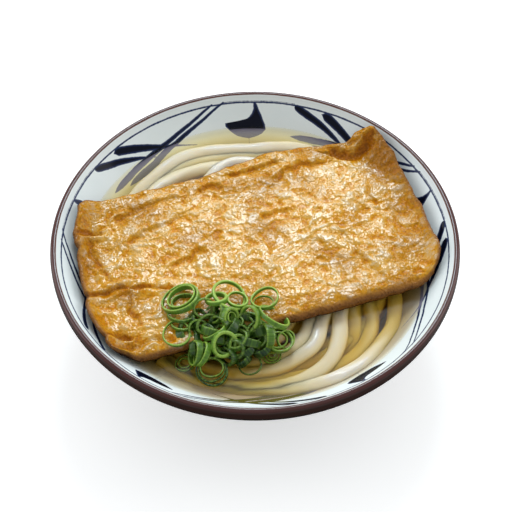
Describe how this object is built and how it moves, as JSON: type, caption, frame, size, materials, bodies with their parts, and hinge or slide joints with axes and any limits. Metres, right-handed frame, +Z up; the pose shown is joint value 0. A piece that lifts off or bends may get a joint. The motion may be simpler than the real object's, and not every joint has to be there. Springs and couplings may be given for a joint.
{
  "type": "bowl of udon noodles",
  "caption": "Wide ceramic bowl of thick wheat noodles in clear broth, covered by a large sheet of simmered fried tofu with a heap of sliced green onion at its front edge.",
  "frame": {"origin": "centre of the foot ring's underside, on the table", "axes": "+Z up through the bowl's mouth, +Y towards the back of the bowl, +X to the diner's right"},
  "size_m": [0.212, 0.212, 0.0745],
  "materials": {
    "bowl": "glazed ceramic, white inside and dark brown outside",
    "broth": "clear pale golden liquid",
    "noodles": "wet and smooth",
    "fried_tofu": "wrinkled, golden and wet",
    "green_onion": "fresh and moist"
  },
  "bodies": {
    "root": {"bowl": "bowl", "broth": "broth", "noodles": "noodles", "fried_tofu": "fried_tofu", "green_onion": "green_onion"}
  },
  "joints": []
}
